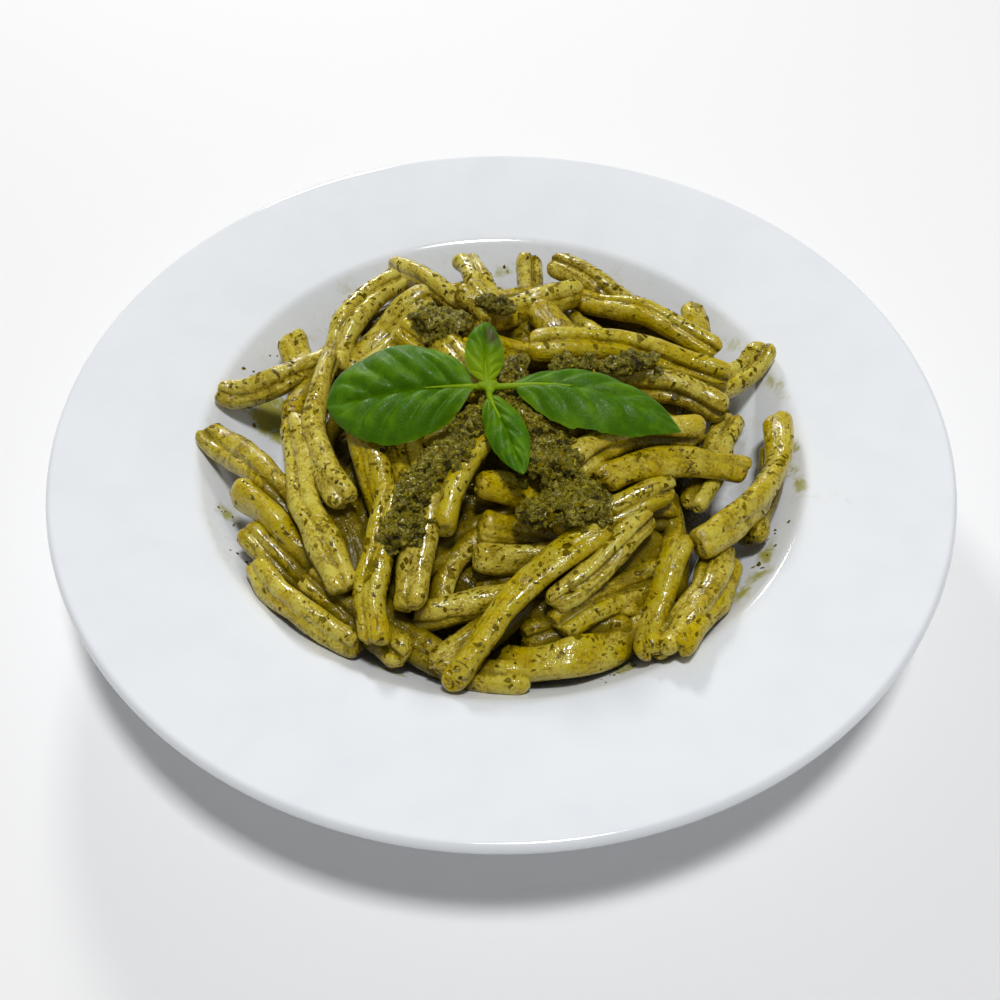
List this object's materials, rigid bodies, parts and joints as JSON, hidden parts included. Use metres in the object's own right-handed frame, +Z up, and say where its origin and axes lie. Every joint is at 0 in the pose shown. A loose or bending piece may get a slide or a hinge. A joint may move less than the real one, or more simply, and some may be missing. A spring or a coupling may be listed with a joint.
{
  "type": "plate of pesto pasta",
  "caption": "Wide-rimmed round plate with a domed heap of casarecce in green pesto, spoonfuls of pesto and a basil sprig on top.",
  "frame": {"origin": "middle of the plate's foot ring, on the surface it stands on", "axes": "+Z up; -Y towards the side the picture is taken from, +X to its right"},
  "size_m": [0.2598, 0.2598, 0.0645],
  "materials": {
    "plate": "smooth white glaze",
    "pasta": "wet cooked pasta, oily",
    "pesto": "coarse oily paste",
    "basil": "fresh leaf, satin"
  },
  "bodies": {
    "root": {"plate": "plate", "pasta_heap": "pasta", "pesto_dollop": "pesto", "pesto_clump_far_left": "pesto", "pesto_clump_far": "pesto", "pesto_streak_right": "pesto", "basil_sprig": "basil"}
  },
  "joints": []
}
